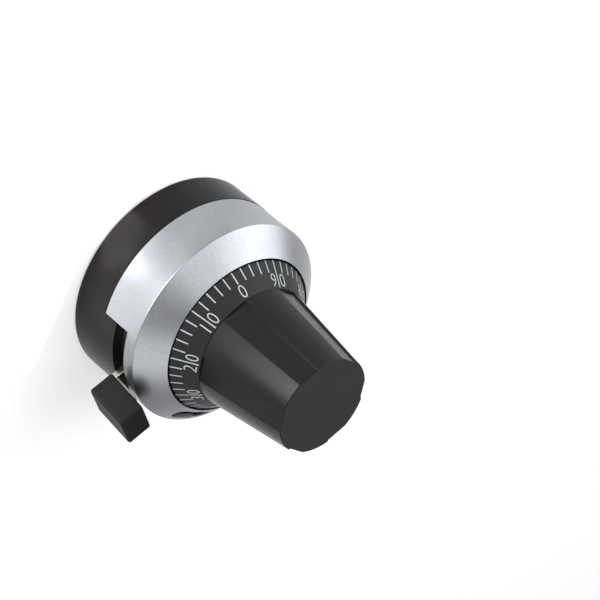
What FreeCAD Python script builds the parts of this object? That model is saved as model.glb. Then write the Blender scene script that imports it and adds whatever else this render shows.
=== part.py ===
"""Turns-counting dial for a multi-turn shaft: knob, scale, turns counter and brake lever.

The axis is +Z and points out of the panel. The origin is the centre of the flat back face,
where the axis meets the panel. +Y points at the window in the bezel, where the scale is read.
All lengths are millimetres and all angles are degrees, counted anticlockwise from +X.
"""
import FreeCAD, Part
import math
import os
import re
import Sketcher

# Straight steps that make up one side of a gear tooth
FLANK_STEPS = 2

# Lengths that differ by less than this are taken as equal
SAME = 1e-6

# Driving sizes, one cell each
SIZES = {
    # housing
    "body_radius": 23.0,
    "body_depth": 9.0,
    "back_bevel": 0.4,
    "recess_wall": 4.2,
    "recess_depth": 6.0,
    "floor_thickness": 2.2,
    "brake_room": 4.7,
    "ledge_width": 1.4,
    "neck_wall": 1.25,
    # clearances
    "running_gap": 0.06,
    "float_gap": 0.1,
    "seat_gap": 0.02,
    "edge_gap": 0.07,
    # bezel
    "bezel_inset": 0.1,
    "bezel_wall": 0.78,
    "bezel_length": 10.1,
    "bezel_cone_height": 4.66,
    "bezel_cone_run": 5.21,
    "bezel_cone_drop": 1.2,
    "bezel_bevel": 0.3,
    "notch_start": 10.4,
    "notch_end": 57.0,
    "notch_height": 7.3,
    "key_gap_angle": 0.25,
    "window_width": 9.6,
    "window_height": 4.2,
    # turns counter
    "fixed_teeth": 42,
    "counter_teeth": 45,
    "planet_teeth": 10,
    "ring_wall": 3.775,
    "planet_angle": 270.0,
    "pressure_angle": 25.0,
    "tooth_share": 0.6,
    "root_gap": 0.15,
    "side_gap": 0.03,
    "fixed_length": 2.3,
    "counter_spigot": 0.5,
    "counter_face": 3.0,
    "counter_side_gap": 0.82,
    "counter_mouth_inset": 0.19,
    "counter_bore_gap": 0.45,
    "counter_drop": 0.54,
    "planet_neck_radius": 2.8,
    # planet carrier
    "stud_radius": 1.45,
    "stud_tail_radius": 1.2,
    "stud_head_radius": 2.4,
    "stud_head": 0.6,
    "plate_side_gap": 1.45,
    "plate_thickness": 1.0,
    # hub, bush and what keeps them
    "shaft_radius": 3.175,
    "shaft_depth": 30.8,
    "hub_tail": 2.1,
    "hub_bevel": 0.3,
    "journal_radius": 6.0,
    "bush_wall": 1.0,
    "bush_flange": 0.5,
    "bush_flange_radius": 8.5,
    "drum_radius": 9.0,
    "drum_length": 4.0,
    "hub_body_radius": 7.0,
    "stem_radius": 6.4,
    "stem_length": 11.6,
    "clip_thickness": 0.6,
    "clip_depth": 0.6,
    "clip_radius": 7.2,
    "clip_opening": 50.0,
    "washer_radius": 7.5,
    "washer_thickness": 0.3,
    "spring_thickness": 0.2,
    # scale skirt
    "skirt_gap": 0.44,
    "skirt_sink": 0.08,
    "skirt_angle": 52.0,
    "skirt_rim": 0.78,
    "skirt_wall": 1.9,
    "skirt_roof": 1.7,
    "skirt_boss_radius": 9.0,
    # knob grip
    "grip_radius": 13.6,
    "grip_front_radius": 10.75,
    "grip_length": 21.45,
    "grip_bevel": 0.2,
    "flute_count": 6,
    "flute_start": 9.5,
    "flute_run": 23.5,
    "flute_depth": 0.42,
    "flute_reach": 2.0,
    # set screws
    "screw_radius": 1.5,
    "screw_above_skirt": 4.6,
    "screw_socket": 1.5,
    "screw_socket_depth": 1.3,
    "screw_angle_1": 165.0,
    "screw_angle_2": 105.0,
    "access_radius": 1.8,
    # brake
    "lever_angle": 46.6,
    "lever_swing": 27.0,
    "lever_thickness": 1.5,
    "lever_ring_width": 4.94,
    "arm_width": 4.8,
    "tang_thickness": 0.88,
    "tang_width": 3.4,
    "tang_short": 4.06,
    "tang_gap": 0.55,
    "paddle_depth": 5.69,
    "paddle_width": 6.82,
    "paddle_lift": 0.37,
    "paddle_length": 8.79,
    "paddle_lean": 0.42,
    "paddle_round": 0.5,
    "peg_radius": 0.6,
    "peg_spacing": 2.4,
    "shoe_angle": 200.0,
    "shoe_travel": 0.5,
    "shoe_lock_gap": 0.03,
    "shoe_width": 6.0,
    "shoe_end_gap": 0.9,
    "shoe_slide_gap": 0.04,
    "shoe_pin_radius": 0.8,
    "slot_inset": 1.55,
    "slot_side_gap": 0.04,
    "slot_end_angle": 4.5,
    "rail_width": 1.8,
    "rail_height": 2.4,
    "rail_gap": 2.5,
    # what stops the housing turning on the panel
    "pin_radius": 1.2,
    "pin_root_radius": 1.0,
    "pin_orbit": 8.95,
    "pin_angle": 270.0,
    "pin_end": 0.3,
    "pin_root": 1.6,
    "pin_bevel": 0.3,
    # how far a cut runs on past a piece, and how far a feature starts inside what it joins
    "cut_reach": 1.0,
    "join_depth": 1.0,
}

# Places and sizes worked out from the driving sizes, each written once
PLACES = {
    # levels along the axis, from the panel forward
    "floor_top": "recess_depth + floor_thickness",
    "bush_top": "floor_top + bush_flange",
    "drum_bottom": "bush_top + float_gap",
    "drum_top": "drum_bottom + drum_length",
    "ledge_top": "floor_top + brake_room",
    "lever_bottom": "ledge_top + float_gap",
    "lever_top": "lever_bottom + lever_thickness",
    "fixed_bottom": "lever_top + float_gap",
    "fixed_top": "fixed_bottom + fixed_length",
    "neck_top": "fixed_top + counter_spigot",
    "counter_bottom": "fixed_top + float_gap",
    "counter_flange": "neck_top + float_gap",
    "counter_teeth_top": "counter_bottom + counter_face",
    "plate_bottom": "counter_teeth_top + 2 * float_gap",
    "plate_top": "plate_bottom + plate_thickness",
    "bezel_edge": "body_depth + bezel_length",
    "bezel_front": "bezel_edge + bezel_cone_height",
    "notch_top": "body_depth + notch_height",
    "skirt_edge": "bezel_front - skirt_sink",
    "skirt_top": "skirt_edge + (skirt_edge_radius - grip_radius) * tan(skirt_angle)",
    "skirt_roof_bottom": "skirt_top - skirt_roof",
    "stem_top": "skirt_top + stem_length",
    "grip_front": "skirt_top + grip_length",
    "hub_back": "recess_depth - hub_tail",
    "screw_height": "skirt_top + screw_above_skirt",
    # radii
    "recess_radius": "body_radius - recess_wall",
    "bezel_radius": "body_radius - bezel_inset",
    "bezel_mouth_radius": "bezel_radius - bezel_cone_run",
    "window_radius": "(bezel_radius + bezel_mouth_radius) / 2",
    "bezel_bore": "bezel_radius - bezel_wall",
    "neck_radius": "bezel_bore - edge_gap",
    "neck_bore": "neck_radius - neck_wall",
    "brake_bore": "neck_bore - ledge_width",
    "bush_bore": "journal_radius + running_gap",
    "bush_radius": "bush_bore + bush_wall",
    "bush_hole": "bush_radius + seat_gap",
    "pressed_bore": "stem_radius + seat_gap",
    "lever_ring_radius": "neck_bore - running_gap",
    "lever_ring_bore": "lever_ring_radius - lever_ring_width",
    "shoe_pin_orbit": "lever_ring_bore + slot_inset",
    "shoe_end": "brake_bore - shoe_end_gap",
    "rail_start": "drum_radius + rail_gap",
    "skirt_edge_radius": "bezel_mouth_radius - skirt_gap",
    "skirt_inner_edge": "skirt_edge_radius - skirt_wall",
    "clip_groove_radius": "journal_radius - clip_depth",
    # slope of the bezel's cone, as rise over run
    "bezel_slope": "bezel_cone_height / (bezel_radius - bezel_mouth_radius)",
    "window_lean": "atan(bezel_slope) / 1deg",
    # the washers between the clip and the floor
    "washer_front": "recess_depth - float_gap",
    "washer_back": "washer_front - washer_thickness",
    "clip_back": "hub_back + clip_thickness",
    "clip_front": "clip_back + clip_thickness",
    # the slot's circle is off the axis, which moves the shoe's pin in and out
    "slot_offset": "shoe_travel / (2 * sin(lever_swing / 2))",
    "slot_middle": "shoe_angle - lever_angle + lever_swing / 2",
    "slot_half_width": "shoe_pin_radius + slot_side_gap",
    "slot_turn": "slot_offset / shoe_pin_orbit * 180 / pi",
    "shoe_pin_rest": "shoe_travel / 2 + sqrt(shoe_pin_orbit ^ 2 - (slot_offset * cos(lever_swing / 2)) ^ 2)",
    # the paddle, in the lever's own frame
    "paddle_back": "lever_top + paddle_lift",
    "paddle_front": "paddle_back + paddle_length",
    "tang_inner": "body_radius + tang_gap",
    "paddle_inner": "tang_inner + tang_thickness",
    "tang_top": "paddle_front - tang_short",
    "peg_middle": "(paddle_back + tang_top) / 2",
    # gears: the planet's orbit leaves the fixed ring its wall, and each module follows the orbit
    "planet_orbit": "(neck_bore - ring_wall - root_gap) * (fixed_teeth - planet_teeth)"
                    " / (fixed_teeth + 2 * tooth_share)",
    "fixed_module": "2 * planet_orbit / (fixed_teeth - planet_teeth)",
    "counter_module": "2 * planet_orbit / (counter_teeth - planet_teeth)",
    "fixed_tip_radius": "fixed_module * (fixed_teeth / 2 - tooth_share)",
    "counter_tip_radius": "counter_module * (counter_teeth / 2 - tooth_share)",
    "planet_reach": "planet_orbit + counter_module * (planet_teeth / 2 + tooth_share)",
    "counter_bore": "planet_reach + counter_bore_gap",
    "counter_flange_radius": "bezel_bore - counter_side_gap",
    "counter_mouth_radius": "bezel_mouth_radius - counter_mouth_inset",
    "plate_radius": "counter_bore - plate_side_gap",
}

DOC = FreeCAD.newDocument("turns_counting_dial")
SHEET = DOC.addObject("Spreadsheet::Sheet", "sizes")
for row, (alias, number) in enumerate(SIZES.items(), start=1):
    SHEET.set("A%d" % row, alias.replace("_", " "))
    SHEET.set("B%d" % row, str(number))
    SHEET.setAlias("B%d" % row, alias)
DOC.recompute()


def formula(text):
    """Write a formula of plain names as one that the document understands."""
    def meaning(match):
        word = match.group(0)
        if word in SIZES:
            return "sizes." + word
        if word in PLACES:
            return "(" + formula(PLACES[word]) + ")"
        return word
    return re.sub(r"[a-z][a-z_0-9]*", meaning, text)


def value(text):
    """Work out a formula of plain names as a number."""
    return float(SHEET.evalExpression(formula(text)))


# Sketches and features that several pieces share
def new_body(label, turned_by=None):
    """Start a piece; turned_by is the angle about the axis that its own +X points at."""
    body = DOC.addObject("PartDesign::Body", label)
    body.Label = label
    if turned_by:
        body.Placement.Rotation = FreeCAD.Rotation(FreeCAD.Vector(0, 0, 1), value(turned_by))
        body.setExpression("Placement.Rotation.Angle", formula(turned_by))
    return body


def new_sketch(body, name, plane, along=None, turn_axis=None, turn=None):
    """Put a sketch on an origin plane, moved along (x, y, z) and turned in the plane's own frame."""
    sketch = body.newObject("Sketcher::SketchObject", body.Label + "_" + name)
    planes = {item.Role: item for item in body.Origin.OriginFeatures}
    sketch.AttachmentSupport = (planes[plane], [""])
    sketch.MapMode = "FlatFace"
    if turn:
        turned = FreeCAD.Rotation(FreeCAD.Vector(*turn_axis), value(turn))
        sketch.AttachmentOffset = FreeCAD.Placement(FreeCAD.Vector(0, 0, 0), turned)
        sketch.setExpression("AttachmentOffset.Rotation.Angle", formula(turn))
    for letter, distance in zip("xyz", along or ()):
        if distance:
            sketch.setExpression("AttachmentOffset.Base." + letter, formula(distance))
    return sketch


def place_point(sketch, edge, end, x, y, name):
    """Tie one point of a sketch to the sketch's origin by two formulas."""
    for kind, text, axis in (("DistanceX", x, -2), ("DistanceY", y, -1)):
        amount = value(text)
        if abs(amount) < SAME:
            sketch.addConstraint(Sketcher.Constraint("PointOnObject", edge, end, axis))
            continue
        index = sketch.addConstraint(Sketcher.Constraint(kind, -1, 1, edge, end, amount))
        sketch.renameConstraint(index, kind + name)
        sketch.setExpression("Constraints." + kind + name, formula(text))


def draw_polygon(sketch, points):
    """Draw a closed outline of straight lines through points given as pairs of formulas."""
    first = sketch.GeometryCount
    count = len(points)
    corners = [FreeCAD.Vector(value(x), value(y), 0) for x, y in points]
    for index in range(count):
        line = Part.LineSegment(corners[index], corners[(index + 1) % count])
        sketch.addGeometry(line, False)
    for index in range(count):
        following = first + (index + 1) % count
        sketch.addConstraint(Sketcher.Constraint("Coincident", first + index, 2, following, 1))
    for index, (x, y) in enumerate(points):
        place_point(sketch, first + index, 1, x, y, "_%d" % (first + index))


def draw_circle(sketch, radius, x="0", y="0"):
    """Draw a circle with its radius and centre tied to formulas."""
    centre = FreeCAD.Vector(value(x), value(y), 0)
    circle = Part.Circle(centre, FreeCAD.Vector(0, 0, 1), value(radius))
    index = sketch.addGeometry(circle, False)
    number = sketch.addConstraint(Sketcher.Constraint("Radius", index, value(radius)))
    sketch.renameConstraint(number, "Radius_%d" % index)
    sketch.setExpression("Constraints.Radius_%d" % index, formula(radius))
    if value(x) == 0 and value(y) == 0:
        sketch.addConstraint(Sketcher.Constraint("Coincident", index, 3, -1, 1))
    else:
        place_point(sketch, index, 3, x, y, "_%d" % index)


def draw_slot(sketch, length, width):
    """Draw an oblong with round ends, centred on the sketch's origin."""
    reach = value(length) / 2 - value(width) / 2
    radius = value(width) / 2
    up = FreeCAD.Vector(0, 0, 1)
    right = Part.Circle(FreeCAD.Vector(reach, 0, 0), up, radius)
    left = Part.Circle(FreeCAD.Vector(-reach, 0, 0), up, radius)
    corners = [FreeCAD.Vector(x, y, 0) for x, y in ((reach, radius), (-reach, radius),
                                                    (-reach, -radius), (reach, -radius))]
    sketch.addGeometry(Part.LineSegment(corners[0], corners[1]), False)
    sketch.addGeometry(Part.ArcOfCircle(left, math.pi / 2, 3 * math.pi / 2), False)
    sketch.addGeometry(Part.LineSegment(corners[2], corners[3]), False)
    sketch.addGeometry(Part.ArcOfCircle(right, -math.pi / 2, math.pi / 2), False)
    for index in range(4):
        sketch.addConstraint(Sketcher.Constraint("Tangent", index, 2, (index + 1) % 4, 1))
    half = "(%s) / 2 - (%s) / 2" % (length, width)
    place_point(sketch, 1, 3, "-(%s)" % half, "0", "_left")
    place_point(sketch, 3, 3, half, "0", "_right")
    for index in (1, 3):
        number = sketch.addConstraint(Sketcher.Constraint("Radius", index, radius))
        sketch.renameConstraint(number, "Radius_%d" % index)
        sketch.setExpression("Constraints.Radius_%d" % index, formula("(%s) / 2" % width))


def box_points(x_low, x_high, y_low, y_high):
    """Corners of an upright rectangle, as formulas."""
    return [(x_low, y_low), (x_high, y_low), (x_high, y_high), (x_low, y_high)]


def revolve(body, name, sketch, angle="360", cut=False):
    """Turn a sketch about its own upright axis, to add or to cut."""
    kind = "PartDesign::Groove" if cut else "PartDesign::Revolution"
    feature = body.newObject(kind, body.Label + "_" + name)
    feature.Profile = sketch
    feature.ReferenceAxis = (sketch, ["V_Axis"])
    feature.setExpression("Angle", formula(angle))
    return feature


def turned(body, name, points, angle="360", start=None, cut=False):
    """Turn an outline of (radius, height) pairs about the axis, from the angle start on."""
    sketch = new_sketch(body, name + "_outline", "XZ_Plane", turn_axis=(0, 1, 0), turn=start)
    draw_polygon(sketch, points)
    return revolve(body, name, sketch, angle, cut)


def pad(body, name, sketch, length, cut=False, backward=False):
    """Push a sketch straight out by a length, to add or to cut."""
    kind = "PartDesign::Pocket" if cut else "PartDesign::Pad"
    feature = body.newObject(kind, body.Label + "_" + name)
    feature.Profile = sketch
    feature.setExpression("Length", formula(length))
    feature.Reversed = backward != cut
    return feature


# Housing: moulded base with a recess at the back and a neck that the bezel fits over
def make_housing():
    body = new_body("housing")
    turned(body, "shell", [
        ("bush_hole", "recess_depth"),
        ("recess_radius", "recess_depth"),
        ("recess_radius", "0"),
        ("body_radius - back_bevel", "0"),
        ("body_radius", "back_bevel"),
        ("body_radius", "body_depth"),
        ("neck_radius", "body_depth"),
        ("neck_radius", "neck_top"),
        ("neck_bore", "neck_top"),
        ("neck_bore", "ledge_top"),
        ("brake_bore", "ledge_top"),
        ("brake_bore", "floor_top"),
        ("bush_hole", "floor_top"),
    ])
    # the key fills the bezel's notch up to the brake lever and stops the bezel turning
    key_outline = box_points("neck_bore", "body_radius", "body_depth - bezel_wall", "ledge_top")
    turned(body, "key", key_outline,
           angle="notch_end - notch_start - 2 * key_gap_angle", start="notch_start + key_gap_angle")
    # the lever passes out through this gap in the neck
    gap_outline = box_points("brake_bore", "body_radius + cut_reach", "ledge_top", "neck_top + cut_reach")
    turned(body, "lever_gap", gap_outline,
           angle="notch_end - notch_start - 2 * key_gap_angle", start="notch_start + key_gap_angle", cut=True)
    # two rails on the floor guide the brake shoe
    rails = new_sketch(body, "rails", "XY_Plane", ("0", "0", "floor_top - floor_thickness / 2"),
                       (0, 0, 1), "shoe_angle")
    near = "shoe_width / 2 + shoe_slide_gap"
    far = near + " + rail_width"
    draw_polygon(rails, box_points("rail_start", "shoe_end", near, far))
    draw_polygon(rails, box_points("rail_start", "shoe_end", "-(%s)" % far, "-(%s)" % near))
    pad(body, "rails_up", rails, "rail_height + floor_thickness / 2")
    # hole for the pin that stops the housing turning on the panel
    hole = new_sketch(body, "pin_hole", "XY_Plane", ("0", "0", "recess_depth - cut_reach"))
    draw_circle(hole, "pin_root_radius + seat_gap",
                "pin_orbit * cos(pin_angle)", "pin_orbit * sin(pin_angle)")
    pad(body, "pin_hole_cut", hole, "pin_root + cut_reach", cut=True)
    return body


# Flanged bush that the hub turns in
def make_bearing_bush():
    body = new_body("bearing_bush")
    turned(body, "bush", [
        ("bush_bore", "recess_depth"),
        ("bush_radius", "recess_depth"),
        ("bush_radius", "floor_top"),
        ("bush_flange_radius", "floor_top"),
        ("bush_flange_radius", "bush_top"),
        ("bush_bore", "bush_top"),
    ])
    return body


# Pin in the floor that a notched washer on the panel holds
def make_anti_rotation_pin():
    body = new_body("anti_rotation_pin")
    turned(body, "pin", [
        ("0", "pin_end"),
        ("pin_radius - pin_bevel", "pin_end"),
        ("pin_radius", "pin_end + pin_bevel"),
        ("pin_radius", "recess_depth"),
        ("pin_root_radius", "recess_depth"),
        ("pin_root_radius", "recess_depth + pin_root"),
        ("0", "recess_depth + pin_root"),
    ])
    body.setExpression("Placement.Base.x", formula("pin_orbit * cos(pin_angle)"))
    body.setExpression("Placement.Base.y", formula("pin_orbit * sin(pin_angle)"))
    return body


def bezel_line(radius, drop):
    """Height of the bezel's cone at a radius, lowered by a drop."""
    return "bezel_edge + (bezel_radius - %s) * bezel_slope - (%s)" % (radius, drop)


# Bezel: thin metal ring and cone with a notch for the lever and a window for the turns
def make_bezel():
    body = new_body("bezel")
    turned(body, "shell", [
        ("bezel_bore", "body_depth"),
        ("bezel_radius", "body_depth"),
        ("bezel_radius", "bezel_edge - bezel_bevel / 2"),
        ("bezel_radius - bezel_bevel", bezel_line("(bezel_radius - bezel_bevel)", "0")),
        ("bezel_mouth_radius", "bezel_front"),
        ("bezel_mouth_radius", bezel_line("bezel_mouth_radius", "bezel_cone_drop")),
        ("bezel_bore", bezel_line("bezel_bore", "bezel_cone_drop")),
    ])
    notch_outline = box_points("neck_bore", "body_radius + cut_reach", "body_depth - cut_reach", "notch_top")
    turned(body, "notch", notch_outline, angle="notch_end - notch_start", start="notch_start", cut=True)
    # the window is an oblong cut square to the cone, halfway along its slope
    window = new_sketch(body, "window", "XY_Plane",
                        ("0", "window_radius", bezel_line("window_radius", "0")),
                        (-1, 0, 0), "window_lean")
    draw_slot(window, "window_width", "window_height")
    opening = pad(body, "window_cut", window, "4 * bezel_cone_drop", cut=True)
    opening.Midplane = True
    return body


def gear_outline(teeth, module, low, high, thicker):
    """Closed outline of a gear's involute teeth, the first tooth centred on the planet's angle.

    low and high are how far the teeth reach below and above the pitch circle, in modules, and
    thicker is how much each flank is moved out.
    """
    pitch = module * teeth / 2
    pressure = math.radians(value("pressure_angle"))
    base = pitch * math.cos(pressure)
    bottom = pitch - low * module - value("root_gap")
    top = pitch + high * module

    def half_angle(radius):
        at_radius = math.acos(min(1.0, base / radius))
        spread = math.tan(pressure) - pressure - math.tan(at_radius) + at_radius
        return math.pi / (2 * teeth) + spread + thicker / radius

    start = max(base, bottom)
    radii = [start + (top - start) * step / FLANK_STEPS for step in range(FLANK_STEPS + 1)]
    flank = [(radius, half_angle(radius)) for radius in radii]
    if bottom < base:
        flank.insert(0, (bottom, half_angle(base)))
    tooth = [(radius, -angle) for radius, angle in flank]
    tooth += [(radius, angle) for radius, angle in reversed(flank)]
    points = []
    for index in range(teeth):
        middle = math.radians(value("planet_angle")) + 2 * math.pi * index / teeth
        for radius, angle in tooth:
            turn = middle + angle
            points.append(FreeCAD.Vector(radius * math.cos(turn), radius * math.sin(turn), 0))
    return points + points[:1]


def gear_prism(points, bottom, top):
    """Raise a gear's outline between two levels."""
    face = Part.Face(Part.makePolygon(points))
    face.translate(FreeCAD.Vector(0, 0, bottom))
    return face.extrude(FreeCAD.Vector(0, 0, top - bottom))


def internal_gear(label, blank, teeth, module, bottom, top):
    """Cut a ring's inner teeth: the space between them has the form of a wheel's tooth."""
    wheel = DOC.addObject("Part::Feature", label + "_tooth_spaces")
    low = value("tooth_share")
    high = low + value("root_gap") / value(module)
    outline = gear_outline(int(value(teeth)), value(module), low, high, value("side_gap"))
    wheel.Shape = gear_prism(outline, value(bottom), value(top))
    ring = DOC.addObject("Part::Cut", label)
    ring.Base = blank
    ring.Tool = wheel
    ring.Label = label
    return ring


# Gear ring that stays still in the neck
def make_fixed_gear_ring():
    blank = new_body("fixed_gear_blank")
    outline = box_points("fixed_tip_radius", "neck_bore - seat_gap", "fixed_bottom", "fixed_top")
    turned(blank, "blank", outline)
    return internal_gear("fixed_gear_ring", blank, "fixed_teeth", "fixed_module",
                         "fixed_bottom - cut_reach", "fixed_top + cut_reach")


# Ring that counts turns: inner teeth below, and a cone for the numbers behind the window
def make_counter_ring():
    blank = new_body("counter_blank")
    under = "bezel_cone_drop + counter_drop"
    turned(blank, "blank", [
        ("counter_tip_radius", "counter_bottom"),
        ("neck_bore - running_gap", "counter_bottom"),
        ("neck_bore - running_gap", "counter_flange"),
        ("counter_flange_radius", "counter_flange"),
        ("counter_flange_radius", bezel_line("counter_flange_radius", under)),
        ("counter_mouth_radius", bezel_line("counter_mouth_radius", under)),
        ("counter_bore", bezel_line("counter_mouth_radius", under)),
        ("counter_bore", "counter_teeth_top"),
        ("counter_tip_radius", "counter_teeth_top"),
    ])
    return internal_gear("counter_ring", blank, "counter_teeth", "counter_module",
                         "counter_bottom - cut_reach", "counter_teeth_top")


# Planet: two gears in one piece, the lower in the fixed ring and the upper in the counter ring
def make_planet_gear():
    planet = DOC.addObject("Part::Feature", "planet_gear")
    planet.Label = "planet_gear"
    count = int(value("planet_teeth"))
    share = value("tooth_share")
    lower = gear_outline(count, value("fixed_module"), share, share, -value("side_gap"))
    upper = gear_outline(count, value("counter_module"), share, share, -value("side_gap"))
    lower_gear = gear_prism(lower, value("fixed_bottom + float_gap"), value("fixed_top - float_gap"))
    upper_gear = gear_prism(upper, value("counter_bottom + float_gap"), value("plate_bottom - float_gap"))
    neck_bottom = value("fixed_top - float_gap")
    neck_length = value("counter_bottom + float_gap") - neck_bottom
    neck = Part.makeCylinder(value("planet_neck_radius"), neck_length, FreeCAD.Vector(0, 0, neck_bottom))
    bore = Part.makeCylinder(value("stud_radius + running_gap"), value("plate_top"))
    planet.Shape = lower_gear.fuse([neck, upper_gear]).cut(bore)
    planet.setExpression("Placement.Base.x", formula("planet_orbit * cos(planet_angle)"))
    planet.setExpression("Placement.Base.y", formula("planet_orbit * sin(planet_angle)"))
    return planet


# Stud that the planet turns on, riveted into the carrier plate
def make_planet_stud():
    body = new_body("planet_stud")
    turned(body, "stud", [
        ("0", "fixed_bottom - stud_head"),
        ("stud_head_radius", "fixed_bottom - stud_head"),
        ("stud_head_radius", "fixed_bottom"),
        ("stud_radius", "fixed_bottom"),
        ("stud_radius", "plate_bottom"),
        ("stud_tail_radius", "plate_bottom"),
        ("stud_tail_radius", "plate_top"),
        ("0", "plate_top"),
    ])
    body.setExpression("Placement.Base.x", formula("planet_orbit * cos(planet_angle)"))
    body.setExpression("Placement.Base.y", formula("planet_orbit * sin(planet_angle)"))
    return body


# Plate on the hub that carries the planet round with the knob
def make_carrier_plate():
    body = new_body("carrier_plate", "planet_angle")
    turned(body, "plate", box_points("pressed_bore", "plate_radius", "plate_bottom", "plate_top"))
    hole = new_sketch(body, "stud_hole", "XY_Plane", ("0", "0", "plate_bottom - float_gap"))
    draw_circle(hole, "stud_tail_radius + seat_gap", "planet_orbit", "0")
    pad(body, "stud_hole_cut", hole, "plate_thickness + 2 * float_gap", cut=True)
    return body


def radial_hole(body, name, radius, angle, height, length):
    """Drill from the axis outward at an angle and a height."""
    sketch = new_sketch(body, name, "YZ_Plane", turn_axis=(0, 1, 0), turn=angle)
    draw_circle(sketch, radius, "0", height)
    return pad(body, name + "_cut", sketch, length, cut=True)


# Hub: turned metal core with the shaft's bore, the brake drum and the stem of the knob
def make_hub():
    body = new_body("hub")
    turned(body, "core", [
        ("shaft_radius", "hub_back"),
        ("journal_radius - hub_bevel", "hub_back"),
        ("journal_radius", "hub_back + hub_bevel"),
        ("journal_radius", "clip_back"),
        ("clip_groove_radius", "clip_back"),
        ("clip_groove_radius", "clip_front"),
        ("journal_radius", "clip_front"),
        ("journal_radius", "drum_bottom"),
        ("drum_radius", "drum_bottom"),
        ("drum_radius", "drum_top"),
        ("hub_body_radius", "drum_top"),
        ("hub_body_radius", "plate_bottom"),
        ("stem_radius", "plate_bottom"),
        ("stem_radius", "stem_top"),
        ("0", "stem_top"),
        ("0", "hub_back + shaft_depth"),
        ("shaft_radius", "hub_back + shaft_depth"),
    ])
    for number in ("1", "2"):
        radial_hole(body, "screw_hole_" + number, "screw_radius + seat_gap",
                    "screw_angle_" + number, "screw_height", "stem_radius + cut_reach")
    return body


# Snap ring in the hub's groove
def make_hub_circlip():
    body = new_body("hub_circlip")
    outline = box_points("clip_groove_radius + seat_gap", "clip_radius", "clip_back", "clip_front")
    turned(body, "ring", outline, angle="360 - clip_opening", start="clip_opening / 2")
    return body


# Slightly conical spring washer between the snap ring and the flat washer
def make_spring_washer():
    body = new_body("spring_washer")
    turned(body, "cone", [
        ("journal_radius + seat_gap", "clip_front"),
        ("washer_radius", "washer_back - spring_thickness"),
        ("washer_radius", "washer_back"),
        ("journal_radius + seat_gap", "clip_front + spring_thickness"),
    ])
    return body


# Flat washer that runs on the back of the housing's floor
def make_thrust_washer():
    body = new_body("thrust_washer")
    outline = box_points("journal_radius + seat_gap", "washer_radius", "washer_back", "washer_front")
    turned(body, "ring", outline)
    return body


# Scale skirt: cone with a roof that the knob stands on and a boss down to the carrier plate
def make_scale_skirt():
    body = new_body("scale_skirt")
    inner_top = "skirt_inner_edge - (skirt_roof_bottom - skirt_edge) / tan(skirt_angle)"
    turned(body, "shell", [
        ("pressed_bore", "plate_top"),
        ("skirt_boss_radius", "plate_top"),
        ("skirt_boss_radius", "skirt_roof_bottom"),
        (inner_top, "skirt_roof_bottom"),
        ("skirt_inner_edge", "skirt_edge"),
        ("skirt_inner_edge", "skirt_edge - skirt_rim"),
        ("skirt_edge_radius", "skirt_edge - skirt_rim"),
        ("skirt_edge_radius", "skirt_edge"),
        ("grip_radius", "skirt_top"),
        ("pressed_bore", "skirt_top"),
    ])
    return body


def flute_points(radius):
    """One flute across the grip: a flat that falls away from a crease and ends in a step."""
    crease = "(flute_start + flute_run)"
    corners = [(radius, crease), ("(%s - flute_depth)" % radius, "flute_start"),
               ("(%s + flute_reach)" % radius, "flute_start"), ("(%s + flute_reach)" % radius, crease)]
    return [("%s * cos(%s)" % corner, "%s * sin(%s)" % corner) for corner in corners]


# Knob grip: tapered, with six flutes that each have a step on one side
def make_knob_grip():
    body = new_body("knob_grip")
    turned(body, "cone", [
        ("pressed_bore", "skirt_top"),
        ("grip_radius", "skirt_top"),
        ("grip_front_radius", "grip_front - grip_bevel"),
        ("grip_front_radius - grip_bevel", "grip_front"),
        ("0", "grip_front"),
        ("0", "stem_top + float_gap"),
        ("pressed_bore", "stem_top + float_gap"),
    ])
    foot = new_sketch(body, "flute_foot", "XY_Plane", ("0", "0", "skirt_top"))
    draw_polygon(foot, flute_points("grip_radius"))
    head = new_sketch(body, "flute_head", "XY_Plane", ("0", "0", "grip_front"))
    draw_polygon(head, flute_points("grip_front_radius"))
    flute = body.newObject("PartDesign::SubtractiveLoft", "knob_grip_flute")
    flute.Profile = foot
    flute.Sections = [head]
    flute.Ruled = True
    DOC.recompute()
    pattern = body.newObject("PartDesign::PolarPattern", "knob_grip_flutes")
    pattern.Originals = [flute]
    axis = next(item for item in body.Origin.OriginFeatures if item.Role == "Z_Axis")
    pattern.Axis = (axis, [""])
    pattern.Angle = 360
    pattern.setExpression("Occurrences", formula("flute_count"))
    body.Tip = pattern
    for number in ("1", "2"):
        radial_hole(body, "access_hole_" + number, "access_radius",
                    "screw_angle_" + number, "screw_height", "grip_radius + cut_reach")
    return body


# Grub screws that clamp the shaft, each with a hexagon socket
def make_set_screw(number):
    body = new_body("set_screw_" + number, "screw_angle_" + number)
    body.setExpression("Placement.Base.z", formula("screw_height"))
    shank = new_sketch(body, "shank", "YZ_Plane", ("0", "0", "shaft_radius + seat_gap"))
    draw_circle(shank, "screw_radius")
    pad(body, "shank_out", shank, "stem_radius - shaft_radius - seat_gap")
    socket = new_sketch(body, "socket", "YZ_Plane", ("0", "0", "stem_radius"))
    # a hexagon's corners lie at its width across flats over the root of three
    corner = "screw_socket / sqrt(3) * "
    points = [(corner + "cos(%d)" % turn, corner + "sin(%d)" % turn) for turn in range(0, 360, 60)]
    draw_polygon(socket, points)
    pad(body, "socket_in", socket, "screw_socket_depth", cut=True, backward=True)
    return body


def peg_places():
    """Centres of the two pegs across the lever's tang, as (sideways, height) pairs."""
    places = []
    for side in ("- peg_spacing / 2", "+ peg_spacing / 2"):
        height = "(peg_middle %s)" % side
        sideways = "tang_width / 2 - arm_width / 2 + paddle_lean * (%s - lever_top)" % height
        places.append((sideways, height))
    return places


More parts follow.
